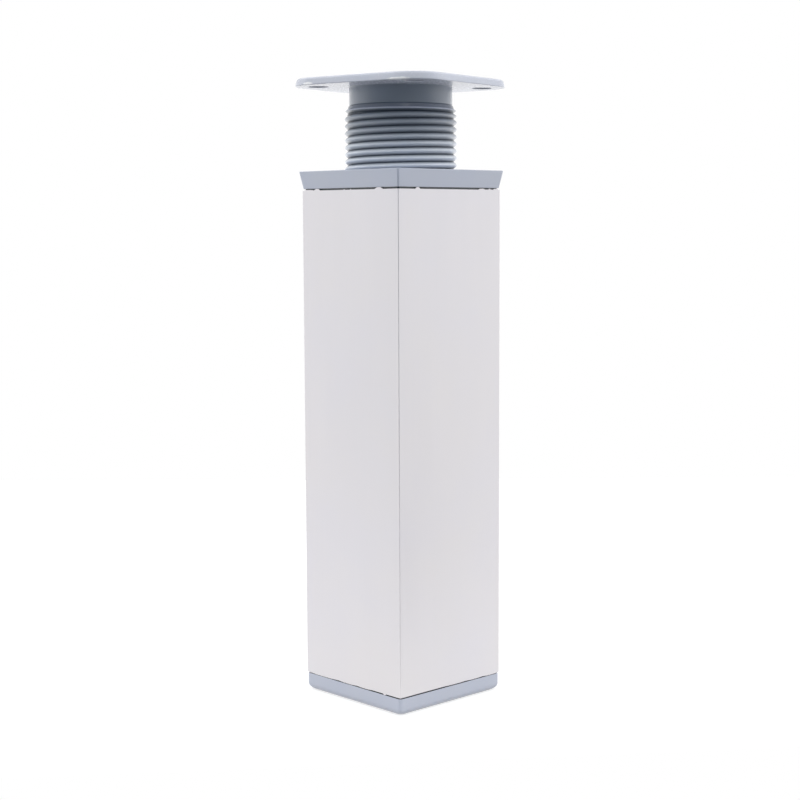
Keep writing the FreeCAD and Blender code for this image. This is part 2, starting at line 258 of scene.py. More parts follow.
def flat_between(work, outer, inner):
    """Flat face between two rings of points round Z, filled step by step round the turn."""
    def turn_of(vert):
        return math.atan2(vert.co.y, vert.co.x) % math.tau

    def turn_ahead(side):
        turns, index = divmod(place[side] + 1, len(rings[side]))
        return turn_of(rings[side][index]) + math.tau * turns

    rings = [sorted(ring, key=turn_of) for ring in (outer, inner)]
    place = [0, 0]
    while place[0] < len(rings[0]) or place[1] < len(rings[1]):
        side = int(place[0] == len(rings[0])
                   or (place[1] < len(rings[1]) and turn_ahead(1) < turn_ahead(0)))
        here = [rings[k][place[k] % len(rings[k])] for k in (0, 1)]
        place[side] += 1
        work.faces.new((here[0], here[1], rings[side][place[side] % len(rings[side])]))


def add_block(work, low, high):
    """Plain upright block between two corners, for the webs inside the foot."""
    (x0, y0, z0), (x1, y1, z1) = low, high
    corners = [work.verts.new((x * MM, y * MM, z * MM)) for z in (z0, z1)
               for x, y in ((x0, y0), (x1, y0), (x1, y1), (x0, y1))]
    for face in ((3, 2, 1, 0), (4, 5, 6, 7), (0, 1, 5, 4), (1, 2, 6, 5), (2, 3, 7, 6), (3, 0, 4, 7)):
        work.faces.new([corners[index] for index in face])


# Node groups shared by the materials


def add_node(tree, kind, inputs=None, **settings):
    """Add a node with its settings; inputs are linked to other nodes' sockets or set to plain values."""
    node = tree.nodes.new(kind)
    for setting, value in settings.items():
        setattr(node, setting, value)
    for socket, source in (inputs or {}).items():
        if isinstance(source, bpy.types.NodeSocket):
            tree.links.new(source, node.inputs[socket])
        else:
            node.inputs[socket].default_value = source
    return node


def start_group(name, inputs, outputs):
    """New node group with named sockets; gives back the group and its input and output nodes."""
    group = bpy.data.node_groups.new(name, "ShaderNodeTree")
    for socket, kind, value in inputs:
        item = group.interface.new_socket(socket, in_out="INPUT", socket_type=kind)
        if value is not None:
            item.default_value = value
    for socket, kind in outputs:
        group.interface.new_socket(socket, in_out="OUTPUT", socket_type=kind)
    return group, group.nodes.new("NodeGroupInput"), group.nodes.new("NodeGroupOutput")


POSITION = ("Position", "NodeSocketVector", None)
COLOUR = ("Colour", "NodeSocketColor", (0.5, 0.5, 0.5, 1))
COLOUR_AND_MASK = [("Colour", "NodeSocketColor"), ("Mask", "NodeSocketFloat")]


def mix_out(group, result, mask, clear, covered):
    """End a group: the mask comes out, and so does the mix that it makes of two colours."""
    mix = add_node(group, "ShaderNodeMix", {"Factor": mask, "A": clear, "B": covered}, data_type="RGBA")
    group.links.new(mix.outputs["Result"], result.inputs["Colour"])
    group.links.new(mask, result.inputs["Mask"])


def soft_mottle_group():
    """Faint cloudy change of tone over a surface, as left by handling and by the finish itself."""
    group, given, result = start_group(
        "soft_mottle",
        [POSITION, COLOUR, ("Warm", "NodeSocketColor", (0.5, 0.5, 0.5, 1)),
         ("Scale", "NodeSocketFloat", 40.0), ("Amount", "NodeSocketFloat", 0.5)],
        COLOUR_AND_MASK)
    cloud = add_node(group, "ShaderNodeTexNoise", {
        "Vector": given.outputs["Position"], "Scale": given.outputs["Scale"],
        "Detail": 3.0, "Roughness": 0.55})
    spread = add_node(group, "ShaderNodeMapRange", {
        "Value": cloud.outputs["Fac"], "From Min": 0.35, "From Max": 0.65})
    weight = add_node(group, "ShaderNodeMath", {
        0: spread.outputs["Result"], 1: given.outputs["Amount"]}, operation="MULTIPLY")
    mix_out(group, result, weight.outputs["Value"], given.outputs["Colour"], given.outputs["Warm"])
    return group


def fine_grain_group():
    """Fine even grain of a surface, as a height for a bump, and a mask for its gloss."""
    group, given, result = start_group(
        "fine_grain",
        [POSITION, ("Scale", "NodeSocketFloat", 900.0), ("Stretch", "NodeSocketVector", (1.0, 1.0, 1.0))],
        [("Height", "NodeSocketFloat"), ("Gloss", "NodeSocketFloat")])
    stretched = add_node(group, "ShaderNodeVectorMath", {
        0: given.outputs["Position"], 1: given.outputs["Stretch"]}, operation="MULTIPLY")
    fine = add_node(group, "ShaderNodeTexNoise", {
        "Vector": stretched.outputs["Vector"], "Scale": given.outputs["Scale"],
        "Detail": 4.0, "Roughness": 0.6})
    group.links.new(fine.outputs["Fac"], result.inputs["Height"])
    group.links.new(fine.outputs["Fac"], result.inputs["Gloss"])
    return group


def recess_shade_group():
    """Painted shade: darkens what lies within a radius round Z, fading out between an inner and an outer
    radius.
    """
    group, given, result = start_group(
        "recess_shade",
        [POSITION, COLOUR, ("Deep", "NodeSocketColor", (0.1, 0.1, 0.1, 1)),
         ("Inner", "NodeSocketFloat", 0.015), ("Outer", "NodeSocketFloat", 0.016)],
        COLOUR_AND_MASK)
    flat = add_node(group, "ShaderNodeVectorMath", {
        0: given.outputs["Position"], 1: (1, 1, 0)}, operation="MULTIPLY")
    reach = add_node(group, "ShaderNodeVectorMath", {0: flat.outputs["Vector"]}, operation="LENGTH")
    shallow = add_node(group, "ShaderNodeMapRange", {
        "Value": reach.outputs["Value"], "From Min": given.outputs["Inner"],
        "From Max": given.outputs["Outer"]})
    mix_out(group, result, shallow.outputs["Result"], given.outputs["Deep"], given.outputs["Colour"])
    return group


def plate_shade_wash_group():
    """Painted shade: a second tone that takes over with height, for the shade that the plate casts on a
    thread's higher turns.
    """
    group, given, result = start_group(
        "plate_shade_wash",
        [POSITION, COLOUR, ("Upper", "NodeSocketColor", (0.3, 0.3, 0.3, 1)),
         ("Low", "NodeSocketFloat", 0.156), ("High", "NodeSocketFloat", 0.164)],
        COLOUR_AND_MASK)
    height = add_node(group, "ShaderNodeSeparateXYZ", {"Vector": given.outputs["Position"]})
    rise = add_node(group, "ShaderNodeMapRange", {
        "Value": height.outputs["Z"], "From Min": given.outputs["Low"],
        "From Max": given.outputs["High"]}, interpolation_type="SMOOTHSTEP")
    mix_out(group, result, rise.outputs["Result"], given.outputs["Colour"], given.outputs["Upper"])
    return group


def painted_glint_group():
    """Painted highlight: pale patch round a point, long along the surface and low in height, with a ragged
    outline.
    """
    group, given, result = start_group(
        "painted_glint",
        [POSITION, COLOUR, ("Pale", "NodeSocketColor", (0.9, 0.9, 0.9, 1)),
         ("Middle", "NodeSocketVector", (0.0, 0.0, 0.0)),
         ("Reach", "NodeSocketVector", (0.003, 0.003, 0.0004))],
        COLOUR_AND_MASK)
    away = add_node(group, "ShaderNodeVectorMath", {
        0: given.outputs["Position"], 1: given.outputs["Middle"]}, operation="SUBTRACT")
    share = add_node(group, "ShaderNodeVectorMath", {
        0: away.outputs["Vector"], 1: given.outputs["Reach"]}, operation="DIVIDE")
    far = add_node(group, "ShaderNodeVectorMath", {0: share.outputs["Vector"]}, operation="LENGTH")
    ragged = add_node(group, "ShaderNodeTexNoise", {
        "Vector": given.outputs["Position"], "Scale": 1100.0, "Detail": 2.0})
    uneven = add_node(group, "ShaderNodeMath", {
        0: ragged.outputs["Fac"], 1: 0.8, 2: far.outputs["Value"]}, operation="MULTIPLY_ADD")
    patch = add_node(group, "ShaderNodeMapRange", {
        "Value": uneven.outputs["Value"], "From Min": 1.1, "From Max": 1.5, "To Min": 1.0, "To Max": 0.0})
    mix_out(group, result, patch.outputs["Result"], given.outputs["Colour"], given.outputs["Pale"])
    return group


mottle = soft_mottle_group()
grain = fine_grain_group()
recess = recess_shade_group()
glint = painted_glint_group()
plate_shade_wash = plate_shade_wash_group()


# Materials


# White of the painted highlights on the plate's edge.
GLINT_WHITE = (0.98, 0.98, 1.0, 1)
# Painted highlights on the plate's lower edge, where it catches the light: middle and reach, in metres.
PLATE_GLINTS = [((0.0204, -0.0206, PLATE_BOTTOM * MM + 0.0002), (0.0034, 0.0034, 0.00045)),
              ((-0.0099, -0.0263, PLATE_BOTTOM * MM + 0.0004), (0.0018, 0.0018, 0.0004))]


def bare_material(name):
    """New material without nodes."""
    material = bpy.data.materials.new(name)
    material.use_nodes = True
    material.node_tree.nodes.clear()
    return material


def start_material(name):
    """New material with a shader; gives back both, and the socket with the place on the object."""
    material = bare_material(name)
    shader = add_node(material.node_tree, "ShaderNodeBsdfPrincipled")
    add_node(material.node_tree, "ShaderNodeOutputMaterial", {"Surface": shader.outputs["BSDF"]})
    place = add_node(material.node_tree, "ShaderNodeTexCoord")
    return material, shader, place.outputs["Object"]


def place_group(material, group, **values):
    """Place a shared group in a material, with its own values or links."""
    return add_node(material.node_tree, "ShaderNodeGroup", values, node_tree=group)


def spread_of(material, mask, low, high):
    """Map the middle range of a noise mask to a range of values."""
    node = add_node(material.node_tree, "ShaderNodeMapRange", {
        "Value": mask, "From Min": 0.3, "From Max": 0.7, "To Min": low, "To Max": high})
    return node.outputs["Result"]


def add_bump(material, shader, height, strength, distance):
    """Fine relief on a surface, its depth given in millimetres."""
    bump = add_node(material.node_tree, "ShaderNodeBump", {
        "Height": height, "Strength": strength, "Distance": distance * MM})
    material.node_tree.links.new(bump.outputs["Normal"], shader.inputs["Normal"])


def satin_tube_finish():
    """Natural anodised metal with faint draw lines along the tube."""
    material, shader, place = start_material("satin_tube_finish")
    links = material.node_tree.links
    tone = place_group(material, mottle, Position=place, Colour=(0.702, 0.682, 0.714, 1),
                       Warm=(0.718, 0.692, 0.702, 1), Scale=28.0, Amount=0.8)
    links.new(tone.outputs["Colour"], shader.inputs["Base Color"])
    lines = place_group(material, grain, Position=place, Scale=900.0, Stretch=(1.0, 1.0, 0.02))
    links.new(spread_of(material, lines.outputs["Gloss"], 0.30, 0.38), shader.inputs["Roughness"])
    add_bump(material, shader, lines.outputs["Height"], 0.15, 0.02)
    shader.inputs["Metallic"].default_value = 0.5
    return material


def moulded_grey(name, colour, warm, shaded_top=None, groove_shade=None, glints=(), gloss=0.6, roughness=0.19):
    """Blue-grey moulded plastic with a soft sheen; can carry painted shade on a thread's higher turns and
    in its grooves, and painted highlights on given spots.
    """
    material, shader, place = start_material(name)
    links = material.node_tree.links
    tone = place_group(material, mottle, Position=place, Colour=colour, Warm=warm, Scale=90.0, Amount=0.7)
    # Painted shade: the thread's higher turns darker, where the plate shades them.
    if shaded_top:
        tone = place_group(material, plate_shade_wash, Position=place, Colour=tone.outputs["Colour"],
                           Upper=shaded_top, Low=DARKER_FROM * MM, High=DARKER_TO * MM)
    # Painted shade in the thread's grooves, darker towards the root.
    if groove_shade:
        tone = place_group(material, recess, Position=place, Colour=tone.outputs["Colour"], Deep=groove_shade,
                           Inner=ROOT_RADIUS * MM, Outer=SHADE_RADIUS * MM)
    # Painted highlights on the given spots.
    for middle, reach in glints:
        tone = place_group(material, glint, Position=place, Colour=tone.outputs["Colour"], Pale=GLINT_WHITE,
                           Middle=middle, Reach=reach)
    links.new(tone.outputs["Colour"], shader.inputs["Base Color"])
    skin = place_group(material, grain, Position=place, Scale=1600.0)
    rough = spread_of(material, skin.outputs["Gloss"], roughness, roughness + 0.06)
    links.new(rough, shader.inputs["Roughness"])
    add_bump(material, shader, skin.outputs["Height"], 0.03, 0.02)
    shader.inputs["Specular IOR Level"].default_value = gloss
    return material


# Pieces


def turns_away(angle, height, phase):
    """Distance along the axis from the middle of the nearest groove."""
    away = (height - phase - PITCH * angle / math.tau) % PITCH
    return min(away, PITCH - away)


def stem_radius(angle, height):
    """Radius of the stem's thread at an angle and a height: full rounded ridges with a tight root."""
    away = min(turns_away(angle, height, GROOVE_PHASE) / (PITCH / 2), 1.0)
    radius = ROOT_RADIUS + (CREST_RADIUS - ROOT_RADIUS) * (1 - (1 - away) ** RIDGE_FULLNESS)
    from_middle = abs(height - RUNOUT_MIDDLE) / RUNOUT_HALF
    if from_middle < 1:
        radius = min(radius, CREST_RADIUS - RUNOUT_DEPTH * (1 - from_middle))
    return radius


def nut_radius(angle, height):
    """Radius of the collar's thread, whose grooves hold the stem's ridges with a little play."""
    away = turns_away(angle, height, GROOVE_PHASE + PITCH / 2)
    half = PITCH / 2 + FLANK_PLAY - (NUT_RADIUS - ROOT_RADIUS) / THREAD_SLOPE
    return NUT_RADIUS + max(0.0, half - away) * THREAD_SLOPE


def threaded_skin(work, radius_at, bottom, top, phase):
    """Rows that follow the thread's rise, cut off flat at both ends; gives back the end rings."""
    # Shares of a turn, closest together next to the middle of the groove.
    half_turn = [0, 0.02, 0.05, 0.09, 0.14, 0.19, 0.25, 0.31, 0.37, 0.43]
    shares = half_turn + [0.5] + [1 - share for share in reversed(half_turn[1:])]
    first = math.floor((bottom - phase) / PITCH) - 2
    last = math.ceil((top - phase) / PITCH) + 1
    rows = [PITCH * (turn + share) for turn in range(first, last) for share in shares]
    columns = []
    for step in range(THREAD_STEPS + 1):
        angle = math.tau * step / THREAD_STEPS
        column = []
        for row in rows:
            height = min(max(phase + row + PITCH * step / THREAD_STEPS, bottom), top)
            radius = radius_at(angle, height)
            column.append(work.verts.new((radius * MM * math.cos(angle), radius * MM * math.sin(angle),
                                          height * MM)))
        columns.append(column)
    for here, following in zip(columns, columns[1:]):
        for low in range(len(rows) - 1):
            corners = (here[low], following[low], following[low + 1], here[low + 1])
            if corners[0].co.z < corners[3].co.z or corners[1].co.z < corners[2].co.z:
                work.faces.new(corners)
    return [column[0] for column in columns[:-1]], [column[-1] for column in columns[:-1]]


def make_stem(plain, threaded, crease, shoulder, cone):
    """Neck, thread, ring seat, tip and open core, closed inside the plate; its bands differ in colour, with
    painted shade on the neck, on the cone below it and in the crease between.
    """
    work = bmesh.new()
    thread_end, _ = threaded_skin(work, stem_radius, THREAD_BOTTOM, RUNOUT_MIDDLE, GROOVE_PHASE)
    closed_at = (NECK_RADIUS + 0.5, PLATE_BOTTOM + 0.02, 0)
    above = [(CREST_RADIUS - RUNOUT_DEPTH, RUNOUT_MIDDLE, 0), (SHOULDER_RADIUS, RUNOUT_TOP, 0.2),
             (SHOULDER_RADIUS - 0.05, RUNOUT_TOP + 0.12, 0.15), (NECK_RADIUS + 0.45, RUNOUT_TOP + 0.5, 0.3),
             (NECK_RADIUS + 0.2, NECK_BOTTOM - 0.32, 0.1), (NECK_RADIUS - 0.2, NECK_BOTTOM - 0.17, 0.05),
             (NECK_RADIUS, NECK_BOTTOM, 0.1), (NECK_RADIUS, PLATE_BOTTOM, 0.6), closed_at]
    turned(work, eased(above))
    below = [(RING_SEAT_RADIUS, THREAD_BOTTOM, 0), (RING_SEAT_RADIUS, TIP_TOP, 0.1),
             (TIP_RADIUS, TIP_TOP, 0.15), (TIP_RADIUS, STEM_BOTTOM, 0.3), (0, STEM_BOTTOM, 0)]
    turned(work, eased(below))
    skinned(work, [add_ring(work, ring_points(RING_SEAT_RADIUS, THREAD_STEPS), THREAD_BOTTOM), thread_end])
    core = [(0, CORE_FLOOR, 0), (CORE_RADIUS, CORE_FLOOR, 0.5), (CORE_RADIUS, PLATE_BOTTOM + 0.3, 0),
            closed_at]
    turned(work, eased(core))
    welded(work)
    # The first colour, a darker copy of the grey as painted shade under the plate, covers the neck and all
    # faces outside these bands; the crease and the cone get darker copies still as painted shade, the
    # shoulder the plain grey.
    bands = [(1, THREAD_BOTTOM, THREAD_FINISH_TOP), (3, RUNOUT_TOP, SHOULDER_TOP),
             (4, SHOULDER_TOP, CREASE_BOTTOM), (2, CREASE_BOTTOM, NECK_BOTTOM)]
    for face in work.faces:
        middle = face.calc_center_median()
        outside = math.hypot(middle.x, middle.y) > (CORE_RADIUS + 1) * MM
        for finish, low, high in bands:
            if outside and low < middle.z / MM < high:
                face.material_index = finish
    new_piece("threaded_stem", work, [plain, threaded, crease, shoulder, cone], "adjuster",
              sharp_degrees=60)


def make_collar(material, seam):
    """Flared collar with its step, its plug inside the tube and the threaded bore."""
    work = bmesh.new()
    edge = 0.3
    low = TUBE_TOP + COLLAR_STEP
    flare = (COLLAR_TOP_HALF - COLLAR_LOW_HALF) / (COLLAR_TOP - low)
    start, end = stacked(work, [
        (PLUG_HALF, PLUG_CORNER, COLLAR_PLUG_BOTTOM), (PLUG_HALF, PLUG_CORNER, TUBE_TOP),
        (STEP_HALF, 0.5, TUBE_TOP), (STEP_HALF, 0.5, low), (COLLAR_LOW_HALF - 0.12, 0.4, low),
        (COLLAR_LOW_HALF - 0.02, 0.45, low + 0.06), (COLLAR_LOW_HALF + 0.15 * flare, 0.5, low + 0.16),
        (COLLAR_TOP_HALF - edge * flare, 0.5, COLLAR_TOP - edge),
        (COLLAR_TOP_HALF - 0.07, 0.5, COLLAR_TOP - 0.1), (COLLAR_TOP_HALF - 0.16, 0.45, COLLAR_TOP - 0.03),
        (COLLAR_TOP_HALF - edge, 0.4, COLLAR_TOP)])
    mouth = add_ring(work, ring_points(NUT_RADIUS + 1.15, THREAD_STEPS), COLLAR_TOP)
    under, foot = [add_ring(work, ring_points(RELIEF_RADIUS, THREAD_STEPS), height)
                   for height in (NUT_BOTTOM, COLLAR_PLUG_BOTTOM)]
    low_end, high_end = threaded_skin(work, nut_radius, NUT_BOTTOM, COLLAR_TOP, GROOVE_PHASE + PITCH / 2)
    skinned(work, [mouth, high_end])
    skinned(work, [low_end, under, foot])
    flat_between(work, end, mouth)
    flat_between(work, start, foot)
    darken_seam(welded(work), TUBE_TOP, low)
    collar = new_piece("collar_moulding", work, [material, seam], "leg")
    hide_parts("collar")


def make_tube(material):
    """Drawn square tube with crisp long edges and its inside faces."""
    work = bmesh.new()
    break_edge, inside_corner = 0.06, 0.25
    start, end = stacked(work, [
        (TUBE_INSIDE, inside_corner, TUBE_BOTTOM), (TUBE_HALF - break_edge, TUBE_EDGE, TUBE_BOTTOM),
        (TUBE_HALF, TUBE_EDGE, TUBE_BOTTOM + break_edge), (TUBE_HALF, TUBE_EDGE, TUBE_TOP - break_edge),
        (TUBE_HALF - break_edge, TUBE_EDGE, TUBE_TOP), (TUBE_INSIDE, inside_corner, TUBE_TOP)])
    skinned(work, [end, start])
    tube = new_piece("square_tube", welded(work), [material], "leg", sharp_degrees=30)
    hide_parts("tube")


# Where burr from the saw cut bridges the two seams: from and to, in millimetres from the near corner,
# and how much of the seam's height it fills.
TOP_BURR = {
    "left": [(6.2, 9.3, 1.0), (19.1, 19.5, 0.6), (21.8, 22.3, 0.5), (32.4, 34.8, 1.0), (34.9, 40, 0.55)],
    "right": [(6.5, 8.2, 1.0), (31.2, 34.0, 0.8), (34.1, 35.1, 0.2), (35.2, 36.2, 0.8), (36.3, 37.0, 0.2),
              (37.1, 40, 0.85)],
    "far_left": [(3, 5.5, 0.7), (14, 15.2, 0.9), (27, 31, 0.5)],
    "far_right": [(8, 12.5, 0.6), (22, 22.8, 1.0), (35, 38, 0.7)],
}
FOOT_BURR = {
    "left": [(5.9, 7.1, 0.95), (12, 18, 0.55), (18.1, 26, 0.7), (26.1, 40, 0.8)],
    "right": [(18, 26, 0.3), (26.1, 33, 0.5), (33.1, 40, 0.75)],
    "far_left": [(2, 7, 0.6), (16, 22, 0.5)],
    "far_right": [(9, 14, 0.6), (30, 36, 0.7)],
}
# For each face of the tube: the corner that its burr is measured from, and the way along the face.
BURR_SIDES = {"left": ((1, -1), (-1, 0)), "right": ((1, -1), (0, 1)), "far_left": ((-1, 1), (0, -1)),
              "far_right": ((-1, 1), (1, 0))}
# A sliver's thickness, the length of its steps, how far it lies behind the tube's face and inside its end,
# how far it stays from the tube's edges, and the share of the seam that a full one takes.
BURR_THICKNESS = 0.08
BURR_PACE = 0.2
BURR_INSET = 0.03
BURR_ROOT = 0.1
BURR_END = 0.4
BURR_FULL = 0.97


def add_sliver(work, side, seat, height, start, end, fill):
    """Ragged sliver of metal along one face, from its seat on the tube's end into the seam."""
    (sign_x, sign_y), (along_x, along_y) = BURR_SIDES[side]
    start, end = max(start, BURR_END), min(end, 2 * TUBE_HALF - BURR_END)
    inward_x, inward_y = -sign_x * BURR_THICKNESS * abs(along_y), -sign_y * BURR_THICKNESS * abs(along_x)
    count = max(2, round((end - start) / BURR_PACE))
    base = seat - math.copysign(BURR_ROOT, height)
    rows = []
    for step in range(count + 1):
        away = start + (end - start) * step / count
        ragged = 0.75 + 0.25 * math.sin(away * 9.1 + start) * math.cos(away * 3.7)
        edge = min(1.0, 3.0 * step / count + 0.15, 3.0 * (count - step) / count + 0.15)
        rise = height * BURR_FULL * fill * (ragged * edge if fill < 0.9 else max(edge, 0.3))
        x = sign_x * (TUBE_HALF - BURR_INSET) + along_x * away
        y = sign_y * (TUBE_HALF - BURR_INSET) + along_y * away
        corners = ((x, y, base), (x, y, seat + rise), (x + inward_x, y + inward_y, seat + rise),
                   (x + inward_x, y + inward_y, base))
        rows.append([work.verts.new((px * MM, py * MM, pz * MM)) for px, py, pz in corners])
    first, last = skinned(work, rows)
    work.faces.new(first)
    work.faces.new(last[::-1])


def make_burr(material):
    """Ragged slivers of metal left on the tube's cut ends."""
    work = bmesh.new()
    for spans, seat, height in ((TOP_BURR, TUBE_TOP, COLLAR_STEP), (FOOT_BURR, TUBE_BOTTOM, -FOOT_STEP)):
        for side, slivers in spans.items():
            for start, end, fill in slivers:
                add_sliver(work, side, seat, height, start, end, fill)
    bmesh.ops.recalc_face_normals(work, faces=work.faces)
    new_piece("cut_burr", work, [material], "leg")


def make_foot(material, seam):
    """Moulded foot: block with soft corners and underside, step, and the hollow plug with its webs."""
    work = bmesh.new()
    corner_spread = 0.6
    loops = []
    for step in range(FOOT_EDGE_STEPS + 1):
        angle = math.radians(90) * step / FOOT_EDGE_STEPS
        inward = FOOT_ROUNDING * (1 - math.sin(angle))
        loops.append((FOOT_HALF - inward, FOOT_CORNER + inward * corner_spread,
                      FOOT_ROUNDING * (1 - math.cos(angle))))
    top = TUBE_BOTTOM - FOOT_STEP
    loops += [(FOOT_HALF, FOOT_CORNER, top - 0.15), (FOOT_HALF - 0.05, FOOT_CORNER, top - 0.04),
              (FOOT_HALF - 0.15, FOOT_CORNER, top), (FOOT_HALF - 0.5, 0.9, top),
              (FOOT_HALF - 0.5, 0.9, TUBE_BOTTOM), (PLUG_HALF, PLUG_CORNER, TUBE_BOTTOM),
              (PLUG_HALF, PLUG_CORNER, FOOT_RIM), (PLUG_HALF - FOOT_WALL, 0.5, FOOT_RIM),
              (PLUG_HALF - FOOT_WALL, 0.5, FOOT_FLOOR)]
    start, end = stacked(work, loops)
    work.faces.new(start[::-1])
    work.faces.new(end)
    welded(work)
    # The webs reach a little into the plug's wall and floor.
    reach, low = PLUG_HALF - FOOT_WALL + 0.1, FOOT_FLOOR - 0.2
    add_block(work, (-reach, -WEB_HALF, low), (reach, WEB_HALF, WEB_TOP))
    add_block(work, (-WEB_HALF, -reach, low), (WEB_HALF, reach, WEB_TOP))
    darken_seam(work, top, TUBE_BOTTOM)
    foot = new_piece("foot_moulding", work, [material, seam], "leg")
    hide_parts("foot_cap")


def make_plate(material, hole_shade):
    """Square plate: full rounding above, tight edge below, four screw holes and the open core's mouth."""
    work = bmesh.new()
    top = PLATE_THICKNESS
    # Outlines from the underside to the top, as distance in from the plate's side, or out from a hole's
    # wall, and height.
    rim = [(0.9, 0.0)] + quarter_round((0.25, 0.0), (0.02, 0.28), (0.0, 0.0), 4)
    rim += quarter_round((0.3, top - 0.75), (1.1, top), (0.45, top - 0.05), 7) + [(1.8, top)]
    under_lip = [(0.6, 0.0)] + quarter_round((0.25, 0.0), (0.0, 0.25), (0.0, 0.0), 3)
    lip = under_lip + quarter_round((0.0, top - 0.3), (0.3, top), (0.0, top), 3) + [(0.7, top)]
    half, corner = PLATE_SIDE / 2, PLATE_CORNER
    rings = [add_ring(work, soft_square(half - inset, corner - inset, PLATE_CORNER_STEPS), height)
             for inset, height in rim]
    low_outer, high_outer = skinned(work, rings)
    place = SCREW_CIRCLE * math.sqrt(0.5)
    openings = [(SCREW_HOLE_RADIUS, SCREW_HOLE_STEPS, (x * place, y * place)) for x, y in QUARTERS]
    openings.append((CORE_RADIUS, CORE_MOUTH_STEPS, (0.0, 0.0)))
    low_holes, high_holes = [], []
    for radius, count, centre in openings:
        rings = [add_ring(work, ring_points(radius + inset, count, centre), height)
                 for inset, height in lip]
        low_hole, high_hole = skinned(work, rings)
        # The screw holes' walls get the second colour, painted shade.
        if radius == SCREW_HOLE_RADIUS:
            for vert in rings[len(under_lip) - 1]:
                for face in vert.link_faces:
                    face.material_index = 1
        low_holes.append(low_hole)
        high_holes.append(high_hole)
    filled_between(work, low_outer, low_holes)
    filled_between(work, high_outer, high_holes)
    turn = Matrix.Rotation(math.radians(PLATE_TURN), 4, "Z")
    rise = Matrix.Translation((0, 0, PLATE_BOTTOM * MM))
    bmesh.ops.transform(work, matrix=rise @ turn, verts=work.verts)
    plate = new_piece("plate", welded(work), [material, hole_shade], "adjuster")
    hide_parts("plate_stem")


def refinish(node, material):
    """Give a carried-over solid its finish."""
    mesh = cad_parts[node].data
    mesh.materials.clear()
    mesh.materials.append(material)


tube_metal = satin_tube_finish()
grey_plastic = moulded_grey("moulded_grey", (0.565, 0.60, 0.715, 1), (0.585, 0.615, 0.71, 1))
# Darker copy of the grey: painted shade on the neck under the plate.
neck_shade_plastic = moulded_grey("neck_grey_painted_shade", (0.31, 0.345, 0.41, 1), (0.325, 0.355, 0.405, 1),
                            gloss=0.4)
# Thread plastic with painted shade: darker higher turns under the plate, and dark grooves.
thread_plastic = moulded_grey("moulded_grey_thread", (0.595, 0.645, 0.725, 1), (0.615, 0.655, 0.72, 1),
                              shaded_top=(0.32, 0.355, 0.415, 1), groove_shade=(0.05, 0.065, 0.09, 1))
# Darker copies still: painted shade on the cone and in the crease under the neck.
cone_shade_plastic = moulded_grey("cone_grey_painted_shade", (0.225, 0.25, 0.31, 1), (0.24, 0.26, 0.305, 1), gloss=0.4)
crease_shade_plastic = moulded_grey("crease_grey_painted_shade", (0.17, 0.205, 0.265, 1), (0.20, 0.225, 0.27, 1))
# Plate plastic with painted highlights on its lower edge.
plate_plastic = moulded_grey("moulded_grey_plate", (0.585, 0.61, 0.705, 1), (0.605, 0.625, 0.70, 1),
                             glints=PLATE_GLINTS, gloss=0.48, roughness=0.23)
# Darker grey: painted shade inside the screw holes.
hole_shade_plastic = moulded_grey("hole_wall_painted_shade", (0.24, 0.26, 0.31, 1), (0.27, 0.28, 0.31, 1))
make_plate(plate_plastic, hole_shade_plastic)
make_stem(neck_shade_plastic, thread_plastic, crease_shade_plastic, grey_plastic, cone_shade_plastic)
# Painted shadow in the seams at the tube's ends.
seam_plastic = moulded_grey("seam_shadow", (0.035, 0.04, 0.05, 1), (0.06, 0.06, 0.065, 1))
make_collar(grey_plastic, seam_plastic)
make_foot(grey_plastic, seam_plastic)
make_tube(tube_metal)
make_burr(tube_metal)
refinish("stop_ring", grey_plastic)


# Studio


# Camera as fitted to the photograph, with its distance and height in millimetres.
CAMERA_TURN = math.radians(46.56494513)
CAMERA_DISTANCE = 476.792669
CAMERA_HEIGHT = 137.036187
CAMERA_PITCH = math.radians(6.12776977)
CAMERA_YAW = math.radians(-0.066789512)
CAMERA_ROLL = math.radians(-0.24203821)
SENSOR_WIDTH = 36
CAMERA_FOCUS = 1651.93003 / 800 * SENSOR_WIDTH

# The pale floor is a lit table top: how far it reaches to the front, to the sides and back, in metres.
TABLE_FRONT = 0.1
TABLE_FRONT_RIGHT = 0.033
STRIP_FRONT = 0.42
TABLE_SIDE = 0.3
TABLE_BACK = 0.4
FLOOR_PAINT = 0.49
# Light added to what the camera and the glossy surfaces see of the floor, so that it reads white.
CAMERA_LIFT = 0.62
MIRROR_LIFT = 0.82

WHITE = (1, 1, 1, 1)
# Brightness of the surroundings, where 1 is white.
SIDE_LEVEL = 1.5
BAND_LEVEL = 2.0
ZENITH_LEVEL = 0.35
# Share of that brightness which is left straight behind the leg, above the horizon.
BACK_SHARE = 0.55
FRONT_LEVEL = 0.32
FRONT_TINT = (0.72, 0.85, 0.95, 1)
# The opening of the tent looks a little to the left of the camera.
OPENING_TURN = math.radians(-4.0)
# Where the brightness changes, from and to, in degrees away from the middle of the opening.
OPENING_EDGE = (98, 50)
BACK_EDGE = (180, 95)
# The same in height, where 0 is the horizon and 1 is straight up.
OPENING_TOP = (0.32, 0.66)
BAND_RISE = (0.25, 0.55)
ZENITH_RISE = (0.75, 1.0)
BACK_RISE = (0.0, 0.25)


def table_sheet(name, corners):
    """Level sheet at the floor's height, its corners given to the right and back as the camera looks."""
    work = bmesh.new()
    turn = Matrix.Rotation(CAMERA_TURN, 3, "Z")
    work.faces.new([work.verts.new(turn @ Vector((x, y, 0))) for x, y in corners])
    mesh = bpy.data.meshes.new(name)
    work.to_mesh(mesh)
    work.free()
    sheet = bpy.data.objects.new(name, mesh)
    bpy.context.scene.collection.objects.link(sheet)
    return sheet


